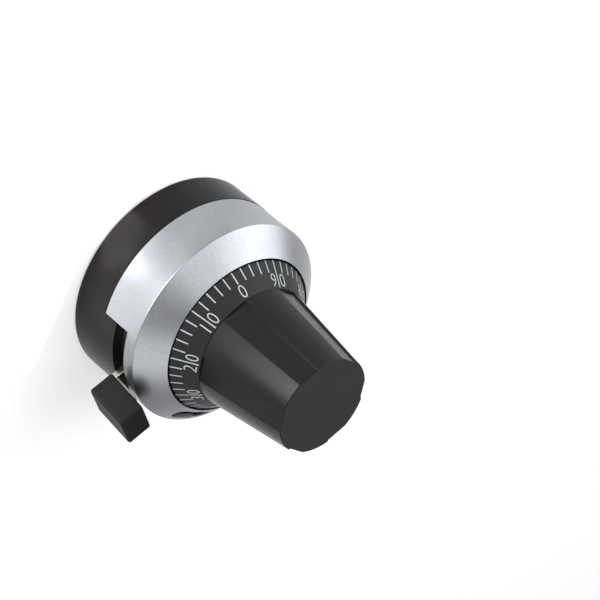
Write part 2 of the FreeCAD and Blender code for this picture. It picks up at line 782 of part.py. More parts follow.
# Brake lever: flat steel ring with an arm out through the notch and a tang bent forward
def make_brake_lever():
    body = new_body("brake_lever", "lever_angle")
    ring = new_sketch(body, "ring", "XY_Plane", ("0", "0", "lever_bottom"))
    draw_circle(ring, "lever_ring_radius")
    draw_circle(ring, "lever_ring_bore")
    pad(body, "ring_up", ring, "lever_thickness")
    near = "-arm_width / 2"
    arm = new_sketch(body, "arm", "XY_Plane", ("0", "0", "lever_bottom"))
    draw_polygon(arm, box_points("lever_ring_bore + join_depth", "paddle_inner", near, "arm_width / 2"))
    pad(body, "arm_up", arm, "lever_thickness")
    tang = new_sketch(body, "tang", "YZ_Plane", ("0", "0", "tang_inner"))
    far = "tang_width - arm_width / 2"
    shift = " + paddle_lean * (tang_top - lever_top)"
    draw_polygon(tang, [
        (near, "lever_bottom"),
        (far, "lever_bottom"),
        (far, "lever_top"),
        (far + shift, "tang_top"),
        (near + shift, "tang_top"),
        (near, "lever_top"),
    ])
    pad(body, "tang_out", tang, "tang_thickness")
    pegs = new_sketch(body, "peg_holes", "YZ_Plane", ("0", "0", "tang_inner - float_gap"))
    for sideways, height in peg_places():
        draw_circle(pegs, "peg_radius + seat_gap", sideways, height)
    pad(body, "peg_holes_cut", pegs, "tang_thickness + 2 * float_gap", cut=True)
    # the slot's circle is centred off the axis, so turning the lever moves the shoe's pin
    slot = new_sketch(body, "slot", "XZ_Plane",
                      ("slot_offset * sin(slot_middle)", "0", "slot_offset * cos(slot_middle)"),
                      (0, 1, 0), "slot_middle + slot_turn - lever_swing / 2 - slot_end_angle")
    draw_polygon(slot, box_points("shoe_pin_orbit - slot_half_width", "shoe_pin_orbit + slot_half_width",
                                  "lever_bottom - cut_reach", "lever_top + cut_reach"))
    revolve(body, "slot_cut", slot, "lever_swing + 2 * slot_end_angle", cut=True)
    return body


# Moulded paddle pegged on the tang, with sides that lean the way the lever moves
def make_brake_paddle():
    body = new_body("brake_paddle", "lever_angle")
    block = new_sketch(body, "block", "YZ_Plane", ("0", "0", "paddle_inner"))
    half = "paddle_width / 2"
    shift = "paddle_lean * paddle_length / 2"
    draw_polygon(block, [
        ("-(%s) - %s" % (half, shift), "paddle_back"),
        ("%s - %s" % (half, shift), "paddle_back"),
        ("%s + %s" % (half, shift), "paddle_front"),
        ("%s - %s" % (shift, half), "paddle_front"),
    ])
    pad(body, "block_out", block, "paddle_depth")
    DOC.recompute()
    base = body.Tip
    inner = value("paddle_inner")
    edges = ["Edge%d" % number for number, edge in enumerate(base.Shape.Edges, start=1)
             if edge.BoundBox.XMax > inner + SAME]
    rounding = body.newObject("PartDesign::Fillet", "brake_paddle_rounding")
    rounding.Base = (base, edges)
    rounding.setExpression("Radius", formula("paddle_round"))
    pegs = new_sketch(body, "pegs", "YZ_Plane", ("0", "0", "paddle_inner"))
    for sideways, height in peg_places():
        draw_circle(pegs, "peg_radius", sideways, height)
    pad(body, "pegs_in", pegs, "tang_thickness", backward=True)
    return body


# Brake shoe: nylon block that slides between the rails, with a pin up into the lever's slot
def make_brake_shoe():
    body = new_body("brake_shoe", "shoe_angle")
    block = new_sketch(body, "block", "XY_Plane", ("0", "0", "floor_top + shoe_slide_gap"))
    draw_polygon(block, box_points("drum_radius", "shoe_end", "-shoe_width / 2", "shoe_width / 2"))
    pad(body, "block_up", block, "drum_top - floor_top - shoe_slide_gap")
    face = new_sketch(body, "face", "XY_Plane", ("0", "0", "floor_top"))
    draw_circle(face, "drum_radius + shoe_lock_gap", "shoe_travel", "0")
    pad(body, "face_cut", face, "drum_top - floor_top + cut_reach", cut=True)
    pin = new_sketch(body, "pin", "XY_Plane", ("0", "0", "drum_top - join_depth"))
    draw_circle(pin, "shoe_pin_radius", "shoe_pin_rest", "0")
    pad(body, "pin_up", pin, "lever_top - float_gap - drum_top + join_depth")
    return body


PIECES = [
    make_housing(),
    make_bearing_bush(),
    make_anti_rotation_pin(),
    make_bezel(),
    make_fixed_gear_ring(),
    make_counter_ring(),
    make_planet_gear(),
    make_planet_stud(),
    make_carrier_plate(),
    make_hub(),
    make_hub_circlip(),
    make_spring_washer(),
    make_thrust_washer(),
    make_scale_skirt(),
    make_knob_grip(),
    make_set_screw("1"),
    make_set_screw("2"),
    make_brake_lever(),
    make_brake_paddle(),
    make_brake_shoe(),
]
DOC.recompute()

# Stop before writing anything if an object or a piece is not sound
for item in DOC.Objects:
    if "Invalid" in item.State or "Error" in item.State:
        raise RuntimeError("%s did not compute: %s" % (item.Label, item.State))
for piece in PIECES:
    if piece.Shape.isNull() or not piece.Shape.isValid() or len(piece.Shape.Solids) != 1:
        raise RuntimeError("%s is not one sound solid" % piece.Label)

os.makedirs("parts", exist_ok=True)
for piece in PIECES:
    piece.Shape.exportStep("parts/%s.step" % piece.Label)
    print("%-18s %9.2f mm3" % (piece.Label, piece.Shape.Volume))
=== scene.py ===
# %% [markdown]
# # A turns-counting dial
# This dial sits on a panel over the shaft of a multi-turn control. A black base carries a silver
# bezel, and a knob with a printed cone turns inside it. A small lever at the side locks the knob.
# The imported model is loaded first. It is the frame that every piece below is fitted to, and
# nothing in it is moved.

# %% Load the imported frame
import bpy
import math
from mathutils import Matrix, Quaternion, Vector


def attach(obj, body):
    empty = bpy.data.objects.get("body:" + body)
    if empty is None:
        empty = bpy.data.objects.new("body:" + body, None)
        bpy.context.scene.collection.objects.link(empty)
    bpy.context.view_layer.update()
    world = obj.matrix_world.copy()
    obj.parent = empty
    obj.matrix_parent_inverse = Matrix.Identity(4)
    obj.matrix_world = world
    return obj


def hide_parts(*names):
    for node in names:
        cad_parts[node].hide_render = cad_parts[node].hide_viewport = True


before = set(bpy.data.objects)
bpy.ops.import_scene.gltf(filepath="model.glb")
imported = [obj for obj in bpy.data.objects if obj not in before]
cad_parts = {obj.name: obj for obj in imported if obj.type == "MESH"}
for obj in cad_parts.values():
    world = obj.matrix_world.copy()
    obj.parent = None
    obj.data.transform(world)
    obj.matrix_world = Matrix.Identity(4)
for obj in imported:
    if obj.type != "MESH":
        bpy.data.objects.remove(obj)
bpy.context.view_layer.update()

# %% [markdown]
# Sizes are written in millimetres, as on a drawing, and Blender works in metres. `MM` turns one
# into the other. Angles go anticlockwise from +X, seen from the front of the dial. The pieces
# turn about Z, the base stands on the panel at height 0, and +Y points at the window.

# %% Units and angles
MM = 0.001


def spot(radius, angle, height):
    """A place on the dial, from its radius and height in mm and its angle in degrees."""
    turn = math.radians(angle)
    return Vector((radius * MM * math.cos(turn), radius * MM * math.sin(turn), height * MM))


print("12 mm out at 90 degrees is", [round(part, 4) for part in spot(12, 90, 0)])

# %% [markdown]
# An operator works on all that is selected, so each step starts from a clean selection.
# `edit` opens one piece with nothing selected in it, and `pick` selects the points, edges or
# faces that pass a test, as one would pick them by hand.

# %% Selecting by hand
SELECT_MODES = {"VERT": "vertices", "EDGE": "edges", "FACE": "polygons"}
CORNER_ANGLE = 60


def take(piece):
    """Make this piece the only one selected."""
    if bpy.context.mode != "OBJECT":
        bpy.ops.object.mode_set(mode="OBJECT")
    bpy.ops.object.select_all(action="DESELECT")
    piece.select_set(True)
    bpy.context.view_layer.objects.active = piece


def edit(piece, kind="VERT"):
    """Open a piece in edit mode with nothing selected in it."""
    take(piece)
    bpy.ops.object.mode_set(mode="EDIT")
    bpy.ops.mesh.select_mode(type=kind)
    bpy.ops.mesh.select_all(action="DESELECT")


def pick(piece, kind, wanted):
    """Select the points, edges or faces of a piece whose middle and own data pass the test."""
    edit(piece, kind)
    bpy.ops.object.mode_set(mode="OBJECT")
    mesh = piece.data
    for item in getattr(mesh, SELECT_MODES[kind]):
        if kind == "VERT":
            middle = item.co
        elif kind == "EDGE":
            middle = (mesh.vertices[item.vertices[0]].co + mesh.vertices[item.vertices[1]].co) / 2
        else:
            middle = item.center
        item.select = bool(wanted(middle, item))
    bpy.ops.object.mode_set(mode="EDIT")


def is_corner(piece, edge):
    """Whether the two faces beside an edge meet at a sharp angle."""
    sides = [face.normal for face in piece.data.polygons if set(edge.vertices) <= set(face.vertices)]
    return len(sides) == 2 and sides[0].angle(sides[1]) > math.radians(CORNER_ANGLE)


def finish_mesh(piece):
    """Put a piece's place in its mesh, merge doubled points and turn its faces outward."""
    take(piece)
    bpy.ops.object.transform_apply(location=True, rotation=True, scale=True)
    bpy.ops.object.mode_set(mode="EDIT")
    bpy.ops.mesh.select_all(action="SELECT")
    bpy.ops.mesh.remove_doubles(threshold=0.001 * MM)
    bpy.ops.mesh.normals_make_consistent(inside=False)
    bpy.ops.object.mode_set(mode="OBJECT")


print("selection helpers ready for", ", ".join(SELECT_MODES))

# %% [markdown]
# Most pieces of a dial are turned. A lathe hand would follow the outline from corner to corner,
# and so does `turned`: it starts from a circle and pulls that ring out along the outline, one
# corner at a time. Where the outline ends in the middle, the last ring is filled.

# %% Turning
SIDES = 192


def turned(name, outline, sides=SIDES, closed=True):
    """Turn an outline of (radius, height) corners in mm about the axis."""
    radius, height = outline[0]
    bpy.ops.object.select_all(action="DESELECT")
    bpy.ops.mesh.primitive_circle_add(vertices=sides, radius=radius * MM, location=(0, 0, height * MM),
                                      fill_type="NOTHING" if closed else "NGON")
    piece = bpy.context.object
    piece.name = name
    bpy.ops.object.transform_apply(location=True)
    edit(piece, "EDGE")
    bpy.ops.mesh.select_all(action="SELECT")
    corners = outline[1:] + outline[:1] if closed else outline[1:]
    for next_radius, next_height in corners:
        bpy.ops.mesh.extrude_edges_move(
            TRANSFORM_OT_translate={"value": (0, 0, (next_height - height) * MM)})
        share = next_radius / radius
        bpy.ops.transform.resize(value=(share, share, 1), center_override=(0, 0, 0))
        radius, height = next_radius, next_height
    if not closed:
        bpy.ops.mesh.edge_face_add()
    finish_mesh(piece)
    return piece


print("a turned ring has", SIDES, "sides")

# %% [markdown]
# Two more shapes serve as parts of a piece and as tools that cut. `block` is a box between two
# corners. `sector` is a curved block, left over from a turned ring. It has as many sides as the
# piece that it cuts, so that its facets fall on the piece's own. Each tool reaches a little past
# what it cuts, because two faces in one place would confuse the cut.

# %% Blocks and sectors
SPARE = 1


def block(name, low, high, turn=0):
    """A box between two corners in mm, turned about the axis by an angle."""
    middle = [(a + b) / 2 for a, b in zip(low, high)]
    size = [b - a for a, b in zip(low, high)]
    place = Matrix.Rotation(math.radians(turn), 4, "Z") @ Vector(middle)
    bpy.ops.object.select_all(action="DESELECT")
    bpy.ops.mesh.primitive_cube_add(size=MM, location=place * MM, rotation=(0, 0, math.radians(turn)),
                                    scale=size)
    piece = bpy.context.object
    piece.name = name
    finish_mesh(piece)
    return piece


def sector(name, inner, outer, low, high, start, end):
    """A curved block between two radii, two heights and two angles, left over from a turned ring."""
    piece = turned(name, [(inner, low), (outer, low), (outer, high), (inner, high)])
    for angle, side in ((start, 1), (end, -1)):
        edit(piece, "FACE")
        bpy.ops.mesh.select_all(action="SELECT")
        bpy.ops.mesh.bisect(plane_co=(0, 0, 0), plane_no=spot(1, angle + 90 * side, 0).normalized(),
                            use_fill=True, clear_inner=True)
    finish_mesh(piece)
    return piece


print("a tool reaches", SPARE, "mm past what it cuts")

# %% [markdown]
# `ease` gives the sharp edges the small radius that every moulded or turned edge has, because
# that radius is what catches the light. `cut` takes away, or adds, another shape. A piece is
# eased before it is cut: a cut leaves a few very short edges, and they would hold the radius
# back all round.

# %% Cutting and easing
EASED_ABOVE, SMOOTH_UP_TO = 25, 40


def cut(piece, tool, how="DIFFERENCE"):
    """Take a tool's shape away from a piece, or add it with how set to UNION."""
    take(piece)
    modifier = piece.modifiers.new("cut", "BOOLEAN")
    modifier.object = tool
    modifier.operation = how
    modifier.solver = "EXACT"
    bpy.ops.object.modifier_apply(modifier=modifier.name)
    bpy.data.objects.remove(tool)
    finish_mesh(piece)


def shade(piece):
    """Shade a piece smooth up to an angle, with its large faces kept even."""
    take(piece)
    bpy.ops.object.shade_smooth_by_angle(angle=math.radians(SMOOTH_UP_TO))
    even = piece.modifiers.new("even shading", "WEIGHTED_NORMAL")
    even.keep_sharp = True
    bpy.ops.object.modifier_apply(modifier=even.name)


def ease(piece, width, steps=2):
    """Round the sharp edges by a small width in mm, and shade the rest smooth."""
    take(piece)
    bevel = piece.modifiers.new("eased edges", "BEVEL")
    bevel.width = width * MM
    bevel.segments = steps
    bevel.limit_method = "ANGLE"
    bevel.angle_limit = math.radians(EASED_ABOVE)
    bpy.ops.object.modifier_apply(modifier=bevel.name)
    shade(piece)
    print(piece.name, "has", len(piece.data.polygons), "faces")


print("edges are eased above", EASED_ABOVE, "degrees and shaded smooth up to", SMOOTH_UP_TO)

# %% [markdown]
# A finished piece gets its material and rides on the body that carries it, so that it turns with
# the knob or the lever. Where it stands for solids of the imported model, those are hidden.

# %% Fitting to the frame
def fit(piece, body, slot, material, *stands_for):
    """Let a piece ride on its body, in its finish, in place of the solids that it stands for."""
    piece.data.materials.clear()
    piece.data.materials.append(material)
    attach(piece, body)
    if stands_for:
        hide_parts(*stands_for)


# %% [markdown]
# Materials are made of nodes. One function turns the hex colours of a paint card into the linear
# values that Blender mixes, and one adds a node with its settings and its links. Patterns
# are sized in millimetres: a noise of scale 1000 has grains of 1 mm in a scene in metres.

# %% Colours and nodes
def paint(code):
    """Linear colour from a hex code."""
    parts = [int(code[i:i + 2], 16) / 255 for i in (1, 3, 5)]
    return [part / 12.92 if part <= 0.04045 else ((part + 0.055) / 1.055) ** 2.4 for part in parts] + [1]


def add_node(tree, kind, settings=None, values=None, links=None, give=0):
    """Add a node, set its properties and input values, link its inputs, and give one output."""
    node = tree.nodes.new(kind)
    for name, setting in (settings or {}).items():
        setattr(node, name, setting)
    for socket, number in (values or {}).items():
        node.inputs[socket].default_value = number
    for socket, source in (links or {}).items():
        tree.links.new(source, node.inputs[socket])
    return node.outputs[give]


def new_material(name, **values):
    """A material with the numbers that are the same all over it set on its shader."""
    material = bpy.data.materials.new(name)
    material.use_nodes = True
    shader = material.node_tree.nodes["Principled BSDF"]
    for socket, number in values.items():
        shader.inputs[socket.replace("_", " ")].default_value = number
    return material, material.node_tree, shader


def grained(name, dark, light, rough, grain_mm, depth_mm, cloud_mm=9, spread=0.08, drawn_out=1,
            along=0, **values):
    """A surface whose colour, roughness and height follow a fine grain and soft larger clouds.

    A rolled or drawn surface has its grain drawn out, so many times longer, along an angle."""
    material, tree, shader = new_material(name, **values)
    place = add_node(tree, "ShaderNodeTexCoord", give="Object")
    if drawn_out > 1:
        place = add_node(tree, "ShaderNodeMapping", {"vector_type": "TEXTURE"},
                         {"Rotation": (0, 0, math.radians(along)), "Scale": (drawn_out, 1, 1)},
                         {"Vector": place})
    grain = add_node(tree, "ShaderNodeTexNoise", None, {"Scale": 1 / (grain_mm * MM), "Detail": 3},
                     {"Vector": place})
    cloud = add_node(tree, "ShaderNodeTexNoise", None, {"Scale": 1 / (cloud_mm * MM), "Detail": 2},
                     {"Vector": place})
    # each noise lies near 0.5, so their sum lies near 1
    both = add_node(tree, "ShaderNodeMath", {"operation": "ADD"}, None, {0: grain, 1: cloud})
    share = add_node(tree, "ShaderNodeMapRange", None, {"From Min": 0.5, "From Max": 1.5},
                     {"Value": both})
    colour = add_node(tree, "ShaderNodeMix", {"data_type": "RGBA"}, {6: paint(dark), 7: paint(light)},
                      {0: share}, give=2)
    sheen = add_node(tree, "ShaderNodeMapRange", None,
                     {"To Min": rough - spread, "To Max": rough + spread}, {"Value": cloud})
    relief = add_node(tree, "ShaderNodeBump", None, {"Distance": depth_mm * MM}, {"Height": grain})
    tree.links.new(colour, shader.inputs["Base Color"])
    tree.links.new(sheen, shader.inputs["Roughness"])
    tree.links.new(relief, shader.inputs["Normal"])
    return material


print("a mid grey paint is", [round(part, 3) for part in paint("#808080")])

# %% [markdown]
# The base, the knob and the lever's pad are black plastic, but each looks different. The base is
# moulded against a polished steel mould, so it is semi-gloss with a faint orange peel. The knob
# is glossier, and its front face was left with a finer satin texture. The cone under the scale
# and the pad are matt, because a scale must be read without glare. All of them get one recipe
# with their own numbers, since the real ones differ by their mould surface alone. Acetal is black
# with a waxy shine, and natural nylon is creamy and dull.

# %% Black plastics
base_plastic = grained("semi-gloss moulded black plastic", "#131110", "#1b1817", 0.30, 0.5, 0.002,
                       cloud_mm=6, Specular_IOR_Level=0.11)
knob_plastic = grained("glossy moulded black plastic", "#0b0b0b", "#121111", 0.30, 0.7, 0.002,
                       cloud_mm=3, spread=0.075, Specular_IOR_Level=0.2)
knob_front = grained("satin moulded black plastic", "#211f1e", "#2c2927", 0.52, 0.16, 0.006,
                     Specular_IOR_Level=0.3)
scale_plastic = grained("matt black scale plastic", "#121213", "#1a1a1c", 0.52, 0.12, 0.004,
                        Specular_IOR_Level=0.3)
pad_plastic = grained("matt moulded black plastic", "#131312", "#1b1a19", 0.50, 0.2, 0.006,
                      Specular_IOR_Level=0.15)
gear_plastic = grained("moulded black acetal", "#151517", "#1d1d1f", 0.42, 0.4, 0.002,
                       Specular_IOR_Level=0.3)
nylon = grained("moulded natural nylon", "#d8d5c8", "#e6e3d8", 0.45, 0.4, 0.002)
print("plastics:", [item.name for item in (base_plastic, knob_plastic, scale_plastic, nylon)])

# %% [markdown]
# The bezel looks like pressed aluminium with a satin, pearly finish. Blasting with fine beads gives
# such a one, with grains of about a tenth of a millimetre. They break the reflection up, so the
# metal shows broad soft patches of light and dark and no sharp picture of the room. The grain is
# drawn at 0.3 mm, coarser than that, because a finer one doesn't show. The lever's sheet was
# rolled, so its grain is drawn out along the arm. Zinc plating looks cool and even, turned brass
# is warm and bright, and bronze pressed from powder is browner and duller.

# %% Metals
LEVER_ANGLE = 46.6

satin_silver = grained("blasted satin aluminium", "#888a8e", "#a9abb0", 0.38, 0.3, 0.014,
                       cloud_mm=12, spread=0.025, Metallic=1.0)
sheet_steel = grained("rolled sheet steel", "#8f8c86", "#a8a49c", 0.32, 0.1, 0.003,
                      spread=0.1, drawn_out=20, along=LEVER_ANGLE, Metallic=1.0)
plated_steel = grained("zinc-plated steel", "#8b8d90", "#a0a3a7", 0.34, 0.3, 0.003, Metallic=1.0)
turned_brass = grained("turned brass", "#b08a48", "#c79f5a", 0.28, 0.25, 0.002, Metallic=1.0)
bush_bronze = grained("sintered bronze", "#8a6236", "#a67c4a", 0.45, 0.2, 0.006, Metallic=1.0)
print("metals:", [item.name for item in (satin_silver, sheet_steel, turned_brass, bush_bronze)])

# %% [markdown]
# The scale is printed with a pad, in a light grey ink. The film of ink is about two hundredths
# of a millimetre thick, and it is a little uneven where the ink lies thinner.

# %% Printing inks
ink_grey = grained("light grey pad-printed ink", "#8f9497", "#b4b8bb", 0.55, 0.25, 0.001, cloud_mm=2)
ink_black = grained("black pad-printed ink", "#161616", "#202020", 0.55, 0.25, 0.001, cloud_mm=2)
ink_white = grained("white pad-printed ink", "#c9cccd", "#e0e2e3", 0.55, 0.25, 0.001, cloud_mm=2)
print("inks:", [item.name for item in (ink_grey, ink_black, ink_white)])

# %% [markdown]
# The small working pieces inside keep their solids, because their shapes are right as they are.
# The photo hides them, so each gets the finish of what such a piece is likely made of: brass for
# the hub, sintered bronze for its bush, plated steel for pins, clip and washers, acetal and nylon
# for the counter's gears.

# %% Finishes for the solids that stay
SOLID_FINISHES = {
    "bearing_bush": bush_bronze, "hub": turned_brass, "anti_rotation_pin": plated_steel,
    "planet_stud": plated_steel, "carrier_plate": plated_steel, "hub_circlip": plated_steel,
    "spring_washer": plated_steel, "thrust_washer": plated_steel, "set_screw_1": plated_steel,
    "set_screw_2": plated_steel, "fixed_gear_ring": gear_plastic, "counter_ring": gear_plastic,
    "planet_gear": nylon, "brake_shoe": nylon,
}
for solid, finish in SOLID_FINISHES.items():
    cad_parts[solid].data.materials.clear()
    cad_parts[solid].data.materials.append(finish)
print(len(SOLID_FINISHES), "solids finished")

# %% [markdown]
# The base is one moulding: a shallow cup with a floor, open at the back for the nut on the
# panel, and with a thin neck at the front that the bezel slides over. It is turned from its
# section. A curved key is added that fills the bezel's notch, the gap for the lever is cut
# through the neck above it, and two rails on the floor guide the brake's shoe.

# %% Base moulding
BASE_RADIUS, BASE_DEPTH, FOOT_EDGE = 23.0, 9.0, 0.35
BUSH_HOLE, RECESS_RADIUS, CUP_RADIUS = 7.08, 18.8, 19.4
NECK_RADIUS, NECK_BORE, NECK_TOP = 22.05, 20.8, 17.4
FLOOR, FLOOR_TOP, LEDGE_TOP = 6.0, 8.2, 12.9
KEY_START, KEY_END = 10.65, 56.75

base = turned("base_moulding", [
    (BUSH_HOLE, FLOOR), (RECESS_RADIUS, FLOOR), (RECESS_RADIUS, 0), (BASE_RADIUS - FOOT_EDGE, 0),
    (BASE_RADIUS, FOOT_EDGE), (BASE_RADIUS, BASE_DEPTH), (NECK_RADIUS, BASE_DEPTH),
    (NECK_RADIUS, NECK_TOP), (NECK_BORE, NECK_TOP), (NECK_BORE, LEDGE_TOP),
    (CUP_RADIUS, LEDGE_TOP), (CUP_RADIUS, FLOOR_TOP), (BUSH_HOLE, FLOOR_TOP)])
ease(base, 0.15, steps=3)
print("base is", round(base.dimensions.x / MM, 2), "mm across")

# %% Key, lever gap and rails
KEY_SINK, RAIL_ANGLE, RAIL_RISE = 0.5, 200, 2.4
RAIL_NEAR, RAIL_FAR, RAIL_INNER, RAIL_OUTER = 3.04, 4.84, 11.5, 18.5

key = sector("key", NECK_BORE, BASE_RADIUS, BASE_DEPTH - KEY_SINK, LEDGE_TOP, KEY_START, KEY_END)
ease(key, 0.1)
cut(base, key, "UNION")
cut(base, sector("lever gap", CUP_RADIUS, BASE_RADIUS + SPARE, LEDGE_TOP, NECK_TOP + SPARE,
                 KEY_START, KEY_END))
for side in (-1, 1):
    left, right = sorted((side * RAIL_NEAR, side * RAIL_FAR))
    rail = block("rail", (RAIL_INNER, left, FLOOR_TOP - SPARE),
                 (RAIL_OUTER, right, FLOOR_TOP + RAIL_RISE), turn=RAIL_ANGLE)
    ease(rail, 0.12)
    cut(base, rail, "UNION")
shade(base)
fit(base, "base", "black_moulding", base_plastic, "housing")
print("the key fills", KEY_END - KEY_START, "degrees of the neck")

# %% [markdown]
# The bezel is one thin pressed shell: a straight wall that slides over the neck, and a cone that
# closes in on the knob. It could be drawn from a disc; here it is turned from its section, with
# the wall's thickness in the outline. Then the notch for the lever is cut out of the wall's
# foot, and an oblong window out of the cone, square to its slope. The tool for the window is a
# box whose four upright edges are rounded until its ends are half circles. It reaches deeper
# than the wall is thick, because the cone falls away below it at both ends. The window's outer
# edge is rounded last, since a pressed window is rounded where the punch goes in.

# %% Places on the bezel
BEZEL_RADIUS, BEZEL_BORE, MOUTH_RADIUS = 22.9, 22.12, 17.69
SHOULDER, BEZEL_FRONT, CONE_DROP = 19.1, 23.76, 1.2
BEZEL_SLOPE = (BEZEL_FRONT - SHOULDER) / (BEZEL_RADIUS - MOUTH_RADIUS)
BEZEL_LEAN = math.degrees(math.atan(BEZEL_SLOPE))


def bezel_height(radius):
    """Height of the bezel's outer cone at a radius, in mm."""
    return SHOULDER + (BEZEL_RADIUS - radius) * BEZEL_SLOPE


def is_on_cone(piece, edge):
    """Whether both ends of an edge lie on the bezel's outer cone."""
    ends = [piece.data.vertices[number].co / MM for number in edge.vertices]
    return all(abs(end.z - bezel_height(math.hypot(end.x, end.y))) < 0.01 for end in ends)


def on_cone(angle, radius, height, lean):
    """Matrix for print on a cone: X reads clockwise, Y points outward and Z off the surface."""
    turn, tip = math.radians(angle), math.radians(lean)
    outward = Vector((math.cos(turn), math.sin(turn), 0))
    across = Vector((math.sin(turn), -math.cos(turn), 0))
    down = outward * math.cos(tip) - Vector((0, 0, math.sin(tip)))
    off = outward * math.sin(tip) + Vector((0, 0, math.cos(tip)))
    turned_axes = Matrix((across, down, off)).transposed().to_4x4()
    return Matrix.Translation(spot(radius, angle, height)) @ turned_axes


print("the cone leans", round(BEZEL_LEAN, 1), "degrees")

# %% Bezel shell and notch
NOTCH_START, NOTCH_END, NOTCH_TOP = 10.4, 57.0, 16.3

bezel = turned("silver_bezel", [
    (BEZEL_BORE, BASE_DEPTH), (BEZEL_RADIUS, BASE_DEPTH), (BEZEL_RADIUS, SHOULDER),
    (MOUTH_RADIUS, BEZEL_FRONT), (MOUTH_RADIUS, BEZEL_FRONT - CONE_DROP),
    (BEZEL_BORE, bezel_height(BEZEL_BORE) - CONE_DROP)])
ease(bezel, 0.13, steps=3)
cut(bezel, sector("notch", NECK_BORE, BASE_RADIUS + SPARE, BASE_DEPTH - SPARE, NOTCH_TOP,
                  NOTCH_START, NOTCH_END))
print("the notch runs over", NOTCH_END - NOTCH_START, "degrees")

# %% Window
WINDOW_LENGTH, WINDOW_WIDTH, WINDOW_ANGLE, WINDOW_EDGE = 9.6, 4.2, 90, 0.12

window_radius = (BEZEL_RADIUS + MOUTH_RADIUS) / 2
window = block("window", (-WINDOW_LENGTH / 2, -WINDOW_WIDTH / 2, -2 * CONE_DROP),
               (WINDOW_LENGTH / 2, WINDOW_WIDTH / 2, 2 * CONE_DROP))
pick(window, "EDGE", lambda middle, edge: abs(middle.z) < 0.01 * MM)
# a hair less than half the width, so that the two rounded edges of an end don't meet in one
bpy.ops.mesh.bevel(offset=WINDOW_WIDTH / 2 * 0.999 * MM, segments=14, affect="EDGES")
bpy.ops.object.mode_set(mode="OBJECT")
window.matrix_world = on_cone(WINDOW_ANGLE, window_radius, bezel_height(window_radius), BEZEL_LEAN)
finish_mesh(window)
cut(bezel, window)
window_middle = spot(window_radius, WINDOW_ANGLE, bezel_height(window_radius))
reach = WINDOW_LENGTH * 0.6 * MM  # a little more than half the window, so all of its edge is within
pick(bezel, "EDGE", lambda middle, edge: (middle - window_middle).length < reach
     and is_on_cone(bezel, edge) and is_corner(bezel, edge))
bpy.ops.mesh.bevel(offset=WINDOW_EDGE * MM, segments=3, affect="EDGES", clamp_overlap=False)
bpy.ops.object.mode_set(mode="OBJECT")
shade(bezel)
fit(bezel, "base", "satin_silver", satin_silver, "bezel")
print("bezel is", round(bezel.dimensions.x / MM, 2), "mm across")

# %% [markdown]
# The scale is printed on a short steep cone, a separate moulding pressed on the hub's stem under
# the knob. Seen from behind it has a thick boss in the middle. It is turned in one go.

# %% Scale cone
SCALE_EDGE, SCALE_EDGE_HEIGHT, SCALE_LEAN = 17.25, 23.68, 52.0
KNOB_RADIUS, STEM_BORE = 13.6, 6.42
BOSS_RADIUS, BOSS_FOOT, ROOF, RIM, HOLLOW_TOP, HOLLOW_FOOT = 9.0, 21.2, 1.7, 0.78, 13.03, 15.35
SCALE_TOP = SCALE_EDGE_HEIGHT + (SCALE_EDGE - KNOB_RADIUS) * math.tan(math.radians(SCALE_LEAN))

scale_cone = turned("scale_cone", [
    (STEM_BORE, BOSS_FOOT), (BOSS_RADIUS, BOSS_FOOT), (BOSS_RADIUS, SCALE_TOP - ROOF),
    (HOLLOW_TOP, SCALE_TOP - ROOF), (HOLLOW_FOOT, SCALE_EDGE_HEIGHT),
    (HOLLOW_FOOT, SCALE_EDGE_HEIGHT - RIM), (SCALE_EDGE, SCALE_EDGE_HEIGHT - RIM),
    (SCALE_EDGE, SCALE_EDGE_HEIGHT), (KNOB_RADIUS, SCALE_TOP), (STEM_BORE, SCALE_TOP)])
ease(scale_cone, 0.08)
fit(scale_cone, "knob", "scale_black", scale_plastic, "scale_skirt")
print("the scale's cone ends", round(SCALE_TOP, 2), "mm above the panel")

# %% [markdown]
# The knob tapers towards the front, and six flutes let the fingers turn it. Each flute is a flat:
# it leaves the round at a crease and sinks slowly, until it ends in a small step. The outline is
# drawn on a circle at the foot with one point for each degree, turned until a point falls on
# each step. The points between step and crease are taken out, and a new one is pulled inward
# from the step's edge. The first point beyond the gap slides back to the crease, and the two are
# joined. The whole outline is pulled up and narrowed, and its edges are eased. The stem's hole
# and two holes for a key to the set screws are cut last.

# %% Knob outline
OUTLINE_POINTS, FLUTES, STEP_ANGLE, CREASE_ANGLE, FLUTE_DEPTH = 360, 6, 9.5, 33.0, 0.42


def bearing(point):
    """Angle of a point about the axis in degrees, from 0 to 360."""
    return math.degrees(math.atan2(point.y, point.x)) % 360


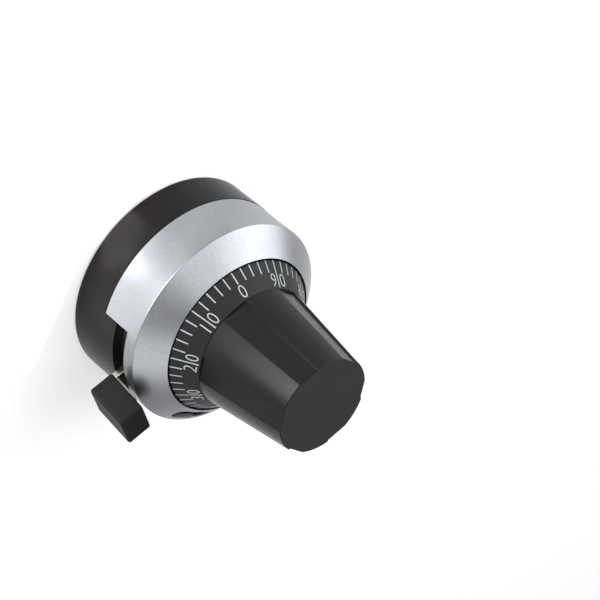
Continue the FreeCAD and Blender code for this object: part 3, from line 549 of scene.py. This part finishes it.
bpy.ops.object.select_all(action="DESELECT")
bpy.ops.mesh.primitive_circle_add(vertices=OUTLINE_POINTS, radius=KNOB_RADIUS * MM,
                                  location=(0, 0, SCALE_TOP * MM),
                                  rotation=(0, 0, math.radians(STEP_ANGLE % 1)))
knob = bpy.context.object
knob.name = "fluted_knob"
bpy.ops.object.transform_apply(location=True, rotation=True)
pitch = 360 / FLUTES
pick(knob, "VERT", lambda point, _: STEP_ANGLE + 0.1 < bearing(point) % pitch < CREASE_ANGLE - 0.1)
bpy.ops.mesh.delete(type="VERT")
for number in range(FLUTES):
    step_angle = STEP_ANGLE + number * pitch
    crease_angle = CREASE_ANGLE + number * pitch
    pick(knob, "VERT", lambda point, _: abs(bearing(point) - step_angle) < 0.1)
    inward = spot(-FLUTE_DEPTH, step_angle, 0)
    bpy.ops.mesh.extrude_vertices_move(TRANSFORM_OT_translate={"value": inward})
    low = spot(KNOB_RADIUS - FLUTE_DEPTH, step_angle, SCALE_TOP)
    next_point = spot(KNOB_RADIUS, crease_angle + STEP_ANGLE % 1, SCALE_TOP)
    crease = spot(KNOB_RADIUS, crease_angle, SCALE_TOP)
    pick(knob, "VERT", lambda point, _: (point - next_point).length < 0.01 * MM)
    bpy.ops.transform.translate(value=crease - next_point)
    pick(knob, "VERT", lambda point, _: min((point - low).length, (point - crease).length) < 0.01 * MM)
    bpy.ops.mesh.edge_face_add()
bpy.ops.object.mode_set(mode="OBJECT")
print("the outline has", FLUTES, "flutes and", len(knob.data.vertices), "points")

# %% Knob body
KNOB_FRONT_RADIUS, KNOB_FRONT = 10.75, SCALE_TOP + 21.45

pick(knob, "EDGE", lambda middle, edge: True)
bpy.ops.mesh.extrude_edges_move(TRANSFORM_OT_translate={"value": (0, 0, (KNOB_FRONT - SCALE_TOP) * MM)})
taper = KNOB_FRONT_RADIUS / KNOB_RADIUS
bpy.ops.transform.resize(value=(taper, taper, 1), center_override=(0, 0, 0))
bpy.ops.mesh.edge_face_add()
pick(knob, "EDGE", lambda middle, edge: middle.z < (SCALE_TOP + 0.01) * MM)
bpy.ops.mesh.edge_face_add()
finish_mesh(knob)
ease(knob, 0.16, steps=4)

# %% Holes in the knob
STEM_TOP, SCREW_HEIGHT, SCREW_ANGLES, KEY_RADIUS = SCALE_TOP + 11.7, SCALE_TOP + 4.6, (165, 105), 1.8

stem_hole = turned("stem hole", [(STEM_BORE, SCALE_TOP - SPARE), (STEM_BORE, STEM_TOP)], 96,
                   closed=False)
cut(knob, stem_hole)
for angle in SCREW_ANGLES:
    bpy.ops.object.select_all(action="DESELECT")
    bpy.ops.mesh.primitive_cylinder_add(vertices=48, radius=KEY_RADIUS * MM, depth=10 * MM,
                                        location=spot(11, angle, SCREW_HEIGHT),
                                        rotation=(0, math.pi / 2, math.radians(angle)))
    key_hole = bpy.context.object
    finish_mesh(key_hole)
    cut(knob, key_hole)
shade(knob)
fit(knob, "knob", "grip_black", knob_plastic, "knob_grip")
knob.data.materials.append(knob_front)
for face in knob.data.polygons:
    if face.normal.z > 0.9 and face.center.z > (KNOB_FRONT - 1) * MM:
        face.material_index = 1
print("knob is", round(knob.dimensions.z / MM, 2), "mm long")

# %% [markdown]
# The lever is stamped from steel sheet. Its arm comes out through the notch, and a short tang is
# bent forward to carry the pad. What lies inside is hidden in the photo and a guess: a ring that
# turns in the base's neck, with a curved slot, off centre, that pushes the brake's shoe towards
# the hub. The ring is turned, the arm and the tang are added as boxes, and the lean of the tang
# is made by moving its front end sideways. Two holes in the tang take the pad's pegs.

# %% Lean and pegs
LEVER_BOTTOM, LEVER_TOP = 13.0, 14.5
TANG_INNER, TANG_TOP, PAD_INNER, PAD_OUTER = 23.55, 19.6, 24.43, 30.08
PAD_BACK, PAD_FRONT, PAD_WIDTH, PAD_LEAN = 14.87, 23.66, 6.8, 0.42
TANG_LEFT, TANG_RIGHT = -2.4, 1.0
PEG_RADIUS, HOLE_RADIUS, PEG_HEIGHTS = 0.6, 0.65, (16.035, 18.435)


def lean_over(piece, amount):
    """Lean a piece to its left: every point moves sideways by its height above the sheet."""
    for low in sorted({round(point.co.z, 6) for point in piece.data.vertices}):
        pick(piece, "VERT", lambda point, _: abs(point.z - low) < 0.01 * MM)
        bpy.ops.transform.translate(value=(0, (low - LEVER_TOP * MM) * amount, 0))
    bpy.ops.object.mode_set(mode="OBJECT")


def peg(height, radius, inner, outer):
    """A round peg through the middle of the tang at a height, between two distances from the axis."""
    middle = (TANG_LEFT + TANG_RIGHT) / 2 + (height - LEVER_TOP) * PAD_LEAN
    bpy.ops.object.select_all(action="DESELECT")
    bpy.ops.mesh.primitive_cylinder_add(vertices=32, radius=radius * MM, depth=(outer - inner) * MM,
                                        location=Vector(((inner + outer) / 2, middle, height)) * MM,
                                        rotation=(0, math.pi / 2, 0))
    piece = bpy.context.object
    finish_mesh(piece)
    return piece


print("the pad leans", round(math.degrees(math.atan(PAD_LEAN)), 1), "degrees")

# %% Brake lever
RING_INNER, RING_OUTER, ARM_INNER, ARM_SIDE = 15.8, 20.74, 16.8, 2.4
SLOT_INNER, SLOT_OUTER, SLOT_START, SLOT_END = 16.51, 18.19, 152.44, 188.44
SLOT_SHIFT, SLOT_SHIFT_ANGLE = 1.071, 166.9

lever = turned("brake_arm", [(RING_INNER, LEVER_BOTTOM), (RING_OUTER, LEVER_BOTTOM),
                             (RING_OUTER, LEVER_TOP), (RING_INNER, LEVER_TOP)])
ease(lever, 0.1)
arm = block("arm", (ARM_INNER, -ARM_SIDE, LEVER_BOTTOM), (PAD_INNER, ARM_SIDE, LEVER_TOP))
ease(arm, 0.1)
cut(lever, arm, "UNION")
tang = block("tang", (TANG_INNER, TANG_LEFT, LEVER_TOP), (PAD_INNER, TANG_RIGHT, TANG_TOP))
lean_over(tang, PAD_LEAN)
ease(tang, 0.1)
for height in PEG_HEIGHTS:
    cut(tang, peg(height, HOLE_RADIUS, TANG_INNER - SPARE, PAD_INNER + SPARE))
cut(lever, tang, "UNION")
slot = sector("slot", SLOT_INNER, SLOT_OUTER, LEVER_BOTTOM - SPARE, LEVER_TOP + SPARE,
              SLOT_START, SLOT_END)
slot.location = spot(SLOT_SHIFT, SLOT_SHIFT_ANGLE, 0)
finish_mesh(slot)
cut(lever, slot)
lever.rotation_euler.z = math.radians(LEVER_ANGLE)
finish_mesh(lever)
shade(lever)
fit(lever, "lever", "lever_steel", sheet_steel, "brake_lever")
print("the slot lies", SLOT_SHIFT, "mm off centre")

# %% [markdown]
# The pad is a moulded block with softly rounded edges. Its sides lean the way the lever moves, so
# the thumb finds a slope to push against. Two pegs on its back hold it in the tang's holes.

# %% Thumb pad
pad = block("thumb_pad", (PAD_INNER, -PAD_WIDTH / 2, PAD_BACK), (PAD_OUTER, PAD_WIDTH / 2, PAD_FRONT))
for direction in (-1, 1):
    pick(pad, "VERT", lambda point, _: (point.z - (PAD_BACK + PAD_FRONT) / 2 * MM) * direction > 0)
    bpy.ops.transform.translate(value=(0, direction * PAD_LEAN * (PAD_FRONT - PAD_BACK) / 2 * MM, 0))
bpy.ops.object.mode_set(mode="OBJECT")
ease(pad, 0.5, steps=5)
for height in PEG_HEIGHTS:
    cut(pad, peg(height, PEG_RADIUS, TANG_INNER, PAD_INNER + SPARE), "UNION")
pad.rotation_euler.z = math.radians(LEVER_ANGLE)
finish_mesh(pad)
shade(pad)
fit(pad, "lever", "paddle_black", pad_plastic, "brake_paddle")
print("the pad has", len(PEG_HEIGHTS), "pegs")

# %% [markdown]
# The scale divides a turn into a hundred, with a mark for every second part. Each mark starts at
# the cone's edge. The long marks at every ten run up between the two digits of their number, so
# "10" reads 1, mark, 0. A short and a long mark are drawn, and copied until there are fifty. Each
# is a strip of ink a few hundredths of a millimetre thick, laid on the cone. Digits are text made
# into mesh, squeezed to the narrow form that scales use.

# %% Marks and digits
MARK_WIDTH, INK = 0.25, 0.03
DIGIT_SQUEEZE, STROKE_CHANGE, FONT_HEIGHT = 0.8, -0.012, 0.72


def on_scale(angle, up):
    """Matrix for print on the scale's cone, so many mm up the slope from its edge."""
    lean = math.radians(SCALE_LEAN)
    return on_cone(angle, SCALE_EDGE - up * math.cos(lean), SCALE_EDGE_HEIGHT + up * math.sin(lean),
                   SCALE_LEAN)


def mark(length, width=MARK_WIDTH):
    """A strip of ink, as thick as its film above the surface and sunk as far into it."""
    return block("mark", (-width / 2, -length / 2, -INK), (width / 2, length / 2, INK))


def digit(character, height):
    """One character as a flat mesh of the given height in mm, centred on the origin."""
    bpy.ops.object.select_all(action="DESELECT")
    bpy.ops.object.text_add()
    text = bpy.context.object
    text.data.body = character
    text.data.size = 1
    text.data.extrude = INK / height * FONT_HEIGHT
    text.data.offset = STROKE_CHANGE
    bpy.ops.object.convert(target="MESH")
    figure = bpy.context.object
    xs = [point.co.x for point in figure.data.vertices]
    ys = [point.co.y for point in figure.data.vertices]
    share = height * MM / (max(ys) - min(ys))
    figure.data.transform(Matrix.Translation((-(min(xs) + max(xs)) / 2, -(min(ys) + max(ys)) / 2, 0)))
    figure.data.transform(Matrix.Diagonal((share * DIGIT_SQUEEZE, share, share, 1)))
    return figure


print("a mark is", MARK_WIDTH, "mm wide and its ink", INK, "mm thick")

# %% Stamping and joining prints
def stamp(pattern, place, prints, shift=0):
    """Copy a print with its own mesh to a place on the dial, and keep it with the others."""
    copy = pattern.copy()
    copy.data = pattern.data.copy()
    bpy.context.collection.objects.link(copy)
    copy.data.transform(place @ Matrix.Translation((shift * MM, 0, 0)))
    prints.append(copy)


def join(name, prints):
    """Join prints into one piece."""
    take(prints[0])
    for item in prints[1:]:
        item.select_set(True)
    bpy.ops.object.join()
    piece = bpy.context.object
    piece.name = name
    print(name, "has", len(prints), "prints and", len(piece.data.polygons), "faces")
    return piece


print("helpers ready: stamp and join")

# %% The printed scale
ZERO_ANGLE, MARKS, SHORT_MARK, LONG_MARK = -54.0, 50, 2.53, 5.68
DIGIT_HEIGHT, DIGIT_MIDDLE, DIGIT_SPACE = 2.7, 4.15, 1.25

prints = []
short_mark, long_mark = mark(SHORT_MARK), mark(LONG_MARK)
digits = {character: digit(character, DIGIT_HEIGHT) for character in "0123456789"}
for number in range(MARKS):
    angle = ZERO_ANGLE + number * 360 / MARKS
    decade, rest = divmod(number, 5)
    is_long = rest == 0 and decade > 0
    length = LONG_MARK if is_long else SHORT_MARK
    stamp(long_mark if is_long else short_mark, on_scale(angle, length / 2), prints)
    if is_long:
        stamp(digits[str(decade)], on_scale(angle, DIGIT_MIDDLE), prints, -DIGIT_SPACE)
        stamp(digits["0"], on_scale(angle, DIGIT_MIDDLE), prints, DIGIT_SPACE)
    elif rest == 0:
        stamp(digits["0"], on_scale(angle, DIGIT_MIDDLE), prints)
for pattern in [short_mark, long_mark, *digits.values()]:
    bpy.data.objects.remove(pattern)
scale_print = join("scale_print", prints)
fit(scale_print, "knob", None, ink_grey)

# %% [markdown]
# The turns show in the window: a ring behind it carries the numbers 0 to 14, and moves on by one
# number for each turn of the knob. The photo shows the window from its edge only, so the ring and
# its numbers are a guess, and so is the thin line between window and scale that marks where to
# read both. The numbers stand on the ring's own cone, below the bezel's, and read from outside as
# the scale does.

# %% Numbers of the counter
COUNTER_DROP, NUMBER_HEIGHT, NUMBER_SPACE = 1.74, 2.9, 2.1
TURNS, FIRST_NUMBER_ANGLE = 15, WINDOW_ANGLE - 9.6

numbers = []
patterns = {character: digit(character, NUMBER_HEIGHT) for character in "0123456789"}
radius = window_radius + 0.1
for number in range(TURNS):
    angle = FIRST_NUMBER_ANGLE + number * 360 / TURNS
    place = on_cone(angle, radius, bezel_height(radius) - COUNTER_DROP, BEZEL_LEAN)
    characters = str(number)
    for index, character in enumerate(characters):
        stamp(patterns[character], place, numbers, (index - (len(characters) - 1) / 2) * NUMBER_SPACE)
for pattern in patterns.values():
    bpy.data.objects.remove(pattern)
turn_numbers = join("turn_numbers", numbers)
fit(turn_numbers, "counter", None, ink_white)

# %% Index line
LINE_LENGTH, LINE_WIDTH = 1.0, 0.28

line_radius = (window_radius - WINDOW_WIDTH / 2 * math.cos(math.radians(BEZEL_LEAN)) + MOUTH_RADIUS) / 2
lines = []
line = mark(LINE_LENGTH, LINE_WIDTH)
stamp(line, on_cone(WINDOW_ANGLE, line_radius, bezel_height(line_radius), BEZEL_LEAN), lines)
bpy.data.objects.remove(line)
index_line = join("index_line", lines)
fit(index_line, "base", None, ink_black)

# %% [markdown]
# The dial stands on a plain pale floor, which also stands for the panel. The floor is painted
# light grey and glows a little for the camera and for reflections, so that it shows as white in
# the picture and in the metal, while it still takes the dial's shadow.

# %% Floor
STAGE_SIZE, STAGE_GLOW, STAGE_GAP = 6, 0.38, 0.0002  # in metres, as a share of white, in metres

bpy.ops.object.select_all(action="DESELECT")
bpy.ops.mesh.primitive_plane_add(size=STAGE_SIZE, location=(0, 0, -STAGE_GAP))
floor = bpy.context.object
floor.name = "floor"
floor_paint, tree, shader = new_material("pale painted floor", Roughness=0.9, Specular_IOR_Level=0.1)
shader.inputs["Base Color"].default_value = paint("#d6d6d6")
seen = add_node(tree, "ShaderNodeLightPath", give="Is Camera Ray")
for ray in ("Is Glossy Ray", "Is Transmission Ray"):
    also = add_node(tree, "ShaderNodeLightPath", give=ray)
    seen = add_node(tree, "ShaderNodeMath", {"operation": "MAXIMUM"}, None, {0: seen, 1: also})
glow = add_node(tree, "ShaderNodeMath", {"operation": "MULTIPLY"}, {1: STAGE_GLOW}, {0: seen})
tree.links.new(glow, shader.inputs["Emission Strength"])
shader.inputs["Emission Color"].default_value = (1, 1, 1, 1)
floor.data.materials.append(floor_paint)
print("the floor lies", floor.location.z / MM, "mm from the panel's face")

# %% Light from all round
world = bpy.data.worlds.new("studio")
bpy.context.scene.world = world
world.use_nodes = True
tree = world.node_tree
sky = tree.nodes["Background"]
sky.inputs["Color"].default_value = (1, 1, 1, 1)
sky.inputs["Strength"].default_value = 0.45
print("the surroundings shine at", round(sky.inputs["Strength"].default_value, 2), "of white")

# %% [markdown]
# Four soft boxes light the dial, and each has its own work. A low strip in front is mirrored in
# the knob's flats and the bezel's wall. The left box draws the light side of the bezel, the back
# right box lifts the far side of its cone, and the high box fills the shadows and gives the
# knob's front its even grey. Two small lights shine on the floor alone, because wall and base
# mirror the floor at the dial's foot: the floor light gives the wall its bright band, and the
# foot light, close to the base, gives the base its light patch with a clear edge.

# %% Lamps
def soft_box(name, place, size, power, aim=(0, 0, 0.025), spread=180, roll=0):
    """An area lamp of a size in metres at a place, aimed at the dial's middle unless told otherwise."""
    lamp = bpy.data.lights.new(name, "AREA")
    lamp.shape = "RECTANGLE"
    lamp.size, lamp.size_y = size
    lamp.energy = power
    lamp.spread = math.radians(spread)
    holder = bpy.data.objects.new(name, lamp)
    bpy.context.collection.objects.link(holder)
    holder.location = place
    turn = Quaternion((0, 0, 1), math.radians(roll))
    holder.rotation_euler = ((Vector(aim) - Vector(place)).to_track_quat("-Z", "Y") @ turn).to_euler()
    holder.visible_camera = False


soft_box("low strip", (0.15, -0.03, 0.022), (0.115, 0.036), 0.21)
soft_box("floor light", (0.038, 0.004, 0.012), (0.023, 0.036), 0.0042, aim=(0.038, 0.004, 0), spread=20)
soft_box("foot light", (0.0262, -0.0111, 0.005), (0.011, 0.017), 0.0025, aim=(0.0262, -0.0111, 0),
         spread=20, roll=-52)
soft_box("left box", (0.11, 0.25, 0.25), (0.25, 0.25), 0.30)
soft_box("back right box", (-0.15, -0.25, 0.23), (0.42, 0.28), 1.15)
soft_box("high box", (0.18, -0.25, 0.5), (0.3, 0.3), 0.58)

# %% [markdown]
# The camera stands where the photographer's did. Its place, its direction and its roll were found
# from five circles of the dial and the marks of its scale. Its long lens shows them nearly as a
# drawing would.

# %% Camera
SENSOR_WIDTH, LENS, CAMERA_PLACE = 36, 145.44, (356.836, -166.221, 302.651)

camera_data = bpy.data.cameras.new("camera")
camera_data.sensor_width = SENSOR_WIDTH
camera_data.lens = LENS
camera = bpy.data.objects.new("camera", camera_data)
bpy.context.collection.objects.link(camera)
camera_right = Vector((-0.653895, -0.401168, 0.641470))
camera_up = Vector((0.021974, -0.857560, -0.513910))
camera_back = camera_right.cross(camera_up)
camera.matrix_world = (Matrix.Translation(Vector(CAMERA_PLACE) * MM)
                       @ Matrix((camera_right, camera_up, camera_back)).transposed().to_4x4())
bpy.context.scene.camera = camera
bpy.context.scene.view_settings.view_transform = "Standard"
print("the camera is", round(camera.location.length, 3), "m from the dial")
